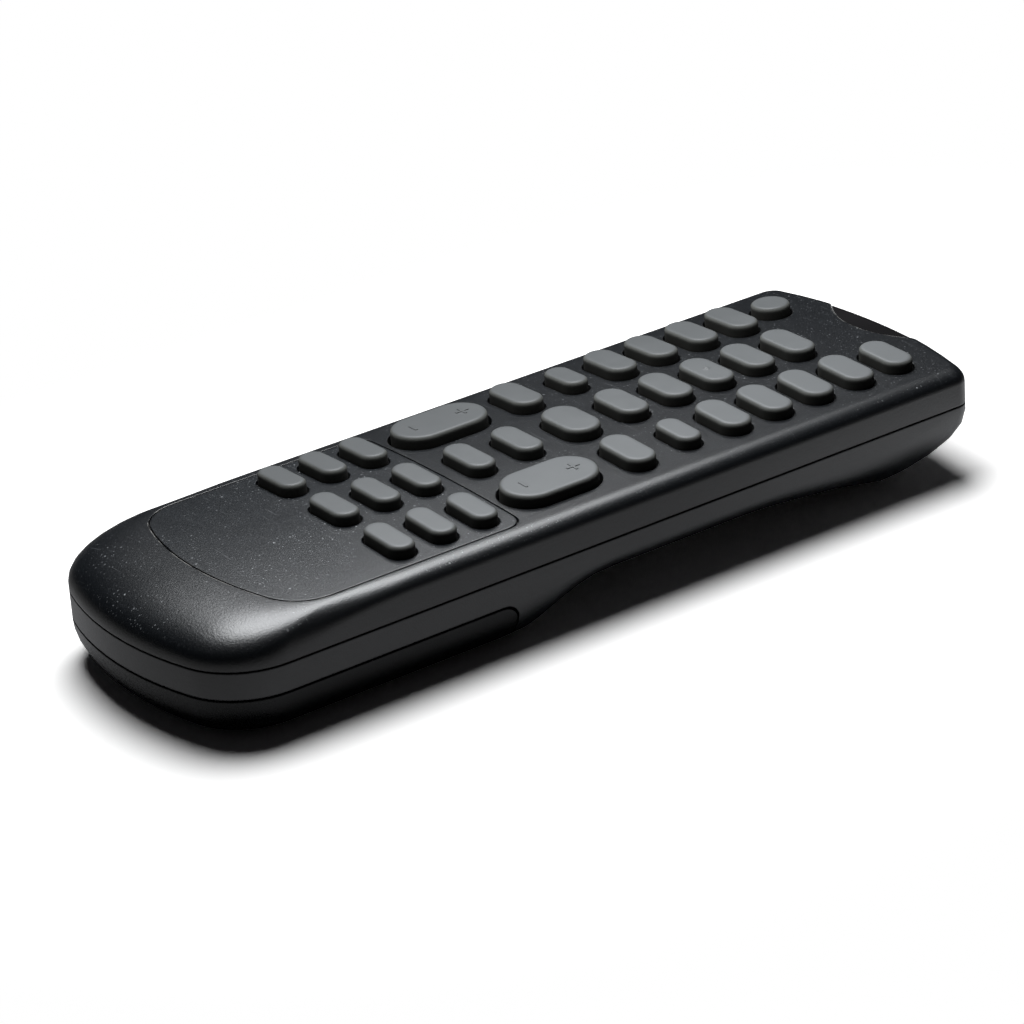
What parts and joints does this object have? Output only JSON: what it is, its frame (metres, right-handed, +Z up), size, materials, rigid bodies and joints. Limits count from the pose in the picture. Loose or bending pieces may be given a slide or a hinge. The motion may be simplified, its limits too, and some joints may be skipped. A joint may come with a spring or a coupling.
{
  "type": "universal remote control",
  "caption": "Handheld universal remote control with grey rubber keys, two rocker keys, an inset key panel, an infrared window and a slide-off battery cover.",
  "frame": {"origin": "on the ground under the middle of the casing", "axes": "+Y along the casing toward the infrared end, +Z up out of the key face, +X across to the right when the infrared end points away"},
  "size_m": [0.0556, 0.164, 0.0233],
  "materials": {
    "casing_plastic": "satin, finely grained",
    "panel_plastic": "satin, finely grained, lightly scratched",
    "lens_plastic": "polished, nearly opaque dark red",
    "key_rubber": "matte",
    "board_laminate": "satin",
    "copper": "satin",
    "steel": "satin",
    "led_plastic": "polished",
    "chip_plastic": "matte",
    "resonator_plastic": "glossy",
    "sleeve_plastic": "glossy",
    "cell_sleeve": "glossy"
  },
  "bodies": {
    "casing": {"upper_casing": "casing_plastic", "lower_casing": "casing_plastic", "panel_plate": "panel_plastic", "infrared_lens": "lens_plastic", "circuit_board": "board_laminate", "keypad_mat": "key_rubber", "contact_pads": "copper", "casing_screws": "steel", "infrared_led": "led_plastic", "led_legs": "steel", "control_chip": "chip_plastic", "chip_legs": "steel", "resonator": "resonator_plastic", "capacitor": "sleeve_plastic", "battery_cells": "cell_sleeve", "cell_caps": "steel", "cell_springs": "steel", "contact_plates": "steel", "spring_plates": "steel"},
    "cover": {"battery_cover": "casing_plastic"},
    "left_rocker": {"rocker_left": "key_rubber"},
    "right_rocker": {"rocker_right": "key_rubber"},
    "panel_key_1_body": {"panel_key_1": "key_rubber"},
    "panel_key_2_body": {"panel_key_2": "key_rubber"},
    "panel_key_3_body": {"panel_key_3": "key_rubber"},
    "panel_key_4_body": {"panel_key_4": "key_rubber"},
    "panel_key_5_body": {"panel_key_5": "key_rubber"},
    "panel_key_6_body": {"panel_key_6": "key_rubber"},
    "panel_key_7_body": {"panel_key_7": "key_rubber"},
    "panel_key_8_body": {"panel_key_8": "key_rubber"},
    "panel_key_9_body": {"panel_key_9": "key_rubber"},
    "centre_key_near_body": {"centre_key_near": "key_rubber"},
    "centre_key_far_body": {"centre_key_far": "key_rubber"},
    "side_key_left_body": {"side_key_left": "key_rubber"},
    "select_key_body": {"select_key": "key_rubber"},
    "side_key_right_body": {"side_key_right": "key_rubber"},
    "small_key_left_body": {"small_key_left": "key_rubber"},
    "zero_key_body": {"zero_key": "key_rubber"},
    "small_key_right_body": {"small_key_right": "key_rubber"},
    "digit_key_1_body": {"digit_key_1": "key_rubber"},
    "digit_key_2_body": {"digit_key_2": "key_rubber"},
    "digit_key_3_body": {"digit_key_3": "key_rubber"},
    "digit_key_4_body": {"digit_key_4": "key_rubber"},
    "digit_key_5_body": {"digit_key_5": "key_rubber"},
    "digit_key_6_body": {"digit_key_6": "key_rubber"},
    "digit_key_7_body": {"digit_key_7": "key_rubber"},
    "digit_key_8_body": {"digit_key_8": "key_rubber"},
    "digit_key_9_body": {"digit_key_9": "key_rubber"},
    "mode_key_left_body": {"mode_key_left": "key_rubber"},
    "mode_key_mid_body": {"mode_key_mid": "key_rubber"},
    "mode_key_right_body": {"mode_key_right": "key_rubber"},
    "power_key_body": {"power_key": "key_rubber"},
    "source_key_body": {"source_key": "key_rubber"}
  },
  "joints": [
    {"name": "cover_slide", "type": "slide", "parent": "casing", "child": "cover", "axis": [0, -1, 0], "range_m": [0, 0.062]},
    {"name": "left_rocker_tilt", "type": "hinge", "parent": "casing", "child": "left_rocker", "pos_m": [-0.01591, -0.00513, 0.01802], "axis": [0.9994, 0, 0.0356], "range_deg": [-3, 3], "stiffness_Nm_per_rad": 0.6},
    {"name": "right_rocker_tilt", "type": "hinge", "parent": "casing", "child": "right_rocker", "pos_m": [0.01591, -0.00513, 0.01802], "axis": [0.9994, 0, -0.0356], "range_deg": [-3, 3], "stiffness_Nm_per_rad": 0.6},
    {"name": "panel_key_1_press", "type": "slide", "parent": "casing", "child": "panel_key_1_body", "axis": [0.0356, 0, -0.9994], "range_m": [0, 0.0008], "stiffness_N_per_m": 900},
    {"name": "panel_key_2_press", "type": "slide", "parent": "casing", "child": "panel_key_2_body", "axis": [0, 0, -1], "range_m": [0, 0.0008], "stiffness_N_per_m": 900},
    {"name": "panel_key_3_press", "type": "slide", "parent": "casing", "child": "panel_key_3_body", "axis": [-0.0356, 0, -0.9994], "range_m": [0, 0.0008], "stiffness_N_per_m": 900},
    {"name": "panel_key_4_press", "type": "slide", "parent": "casing", "child": "panel_key_4_body", "axis": [0.0356, 0, -0.9994], "range_m": [0, 0.0008], "stiffness_N_per_m": 900},
    {"name": "panel_key_5_press", "type": "slide", "parent": "casing", "child": "panel_key_5_body", "axis": [0, 0, -1], "range_m": [0, 0.0008], "stiffness_N_per_m": 900},
    {"name": "panel_key_6_press", "type": "slide", "parent": "casing", "child": "panel_key_6_body", "axis": [-0.0356, 0, -0.9994], "range_m": [0, 0.0008], "stiffness_N_per_m": 900},
    {"name": "panel_key_7_press", "type": "slide", "parent": "casing", "child": "panel_key_7_body", "axis": [0.0356, 0, -0.9994], "range_m": [0, 0.0008], "stiffness_N_per_m": 900},
    {"name": "panel_key_8_press", "type": "slide", "parent": "casing", "child": "panel_key_8_body", "axis": [0, 0, -1], "range_m": [0, 0.0008], "stiffness_N_per_m": 900},
    {"name": "panel_key_9_press", "type": "slide", "parent": "casing", "child": "panel_key_9_body", "axis": [-0.0356, 0, -0.9994], "range_m": [0, 0.0008], "stiffness_N_per_m": 900},
    {"name": "centre_key_near_press", "type": "slide", "parent": "casing", "child": "centre_key_near_body", "axis": [0, 0, -1], "range_m": [0, 0.0008], "stiffness_N_per_m": 900},
    {"name": "centre_key_far_press", "type": "slide", "parent": "casing", "child": "centre_key_far_body", "axis": [0, 0, -1], "range_m": [0, 0.0008], "stiffness_N_per_m": 900},
    {"name": "side_key_left_press", "type": "slide", "parent": "casing", "child": "side_key_left_body", "axis": [0.0356, 0, -0.9994], "range_m": [0, 0.0008], "stiffness_N_per_m": 900},
    {"name": "select_key_press", "type": "slide", "parent": "casing", "child": "select_key_body", "axis": [0, 0, -1], "range_m": [0, 0.0008], "stiffness_N_per_m": 900},
    {"name": "side_key_right_press", "type": "slide", "parent": "casing", "child": "side_key_right_body", "axis": [-0.0356, 0, -0.9994], "range_m": [0, 0.0008], "stiffness_N_per_m": 900},
    {"name": "small_key_left_press", "type": "slide", "parent": "casing", "child": "small_key_left_body", "axis": [0.0356, 0, -0.9994], "range_m": [0, 0.0008], "stiffness_N_per_m": 900},
    {"name": "zero_key_press", "type": "slide", "parent": "casing", "child": "zero_key_body", "axis": [0, 0, -1], "range_m": [0, 0.0008], "stiffness_N_per_m": 900},
    {"name": "small_key_right_press", "type": "slide", "parent": "casing", "child": "small_key_right_body", "axis": [-0.0356, 0, -0.9994], "range_m": [0, 0.0008], "stiffness_N_per_m": 900},
    {"name": "digit_key_1_press", "type": "slide", "parent": "casing", "child": "digit_key_1_body", "axis": [0.0356, 0, -0.9994], "range_m": [0, 0.0008], "stiffness_N_per_m": 900},
    {"name": "digit_key_2_press", "type": "slide", "parent": "casing", "child": "digit_key_2_body", "axis": [0, 0, -1], "range_m": [0, 0.0008], "stiffness_N_per_m": 900},
    {"name": "digit_key_3_press", "type": "slide", "parent": "casing", "child": "digit_key_3_body", "axis": [-0.0356, 0, -0.9994], "range_m": [0, 0.0008], "stiffness_N_per_m": 900},
    {"name": "digit_key_4_press", "type": "slide", "parent": "casing", "child": "digit_key_4_body", "axis": [0.0356, 0, -0.9994], "range_m": [0, 0.0008], "stiffness_N_per_m": 900},
    {"name": "digit_key_5_press", "type": "slide", "parent": "casing", "child": "digit_key_5_body", "axis": [0, 0, -1], "range_m": [0, 0.0008], "stiffness_N_per_m": 900},
    {"name": "digit_key_6_press", "type": "slide", "parent": "casing", "child": "digit_key_6_body", "axis": [-0.0356, 0, -0.9994], "range_m": [0, 0.0008], "stiffness_N_per_m": 900},
    {"name": "digit_key_7_press", "type": "slide", "parent": "casing", "child": "digit_key_7_body", "axis": [0.0356, 0, -0.9994], "range_m": [0, 0.0008], "stiffness_N_per_m": 900},
    {"name": "digit_key_8_press", "type": "slide", "parent": "casing", "child": "digit_key_8_body", "axis": [0, 0, -1], "range_m": [0, 0.0008], "stiffness_N_per_m": 900},
    {"name": "digit_key_9_press", "type": "slide", "parent": "casing", "child": "digit_key_9_body", "axis": [-0.0356, 0, -0.9994], "range_m": [0, 0.0008], "stiffness_N_per_m": 900},
    {"name": "mode_key_left_press", "type": "slide", "parent": "casing", "child": "mode_key_left_body", "axis": [0.0356, 0, -0.9994], "range_m": [0, 0.0008], "stiffness_N_per_m": 900},
    {"name": "mode_key_mid_press", "type": "slide", "parent": "casing", "child": "mode_key_mid_body", "axis": [0, 0, -1], "range_m": [0, 0.0008], "stiffness_N_per_m": 900},
    {"name": "mode_key_right_press", "type": "slide", "parent": "casing", "child": "mode_key_right_body", "axis": [-0.0356, 0, -0.9994], "range_m": [0, 0.0008], "stiffness_N_per_m": 900},
    {"name": "power_key_press", "type": "slide", "parent": "casing", "child": "power_key_body", "axis": [0.0356, 0, -0.9994], "range_m": [0, 0.0008], "stiffness_N_per_m": 900},
    {"name": "source_key_press", "type": "slide", "parent": "casing", "child": "source_key_body", "axis": [-0.0356, 0, -0.9994], "range_m": [0, 0.0008], "stiffness_N_per_m": 900}
  ]
}
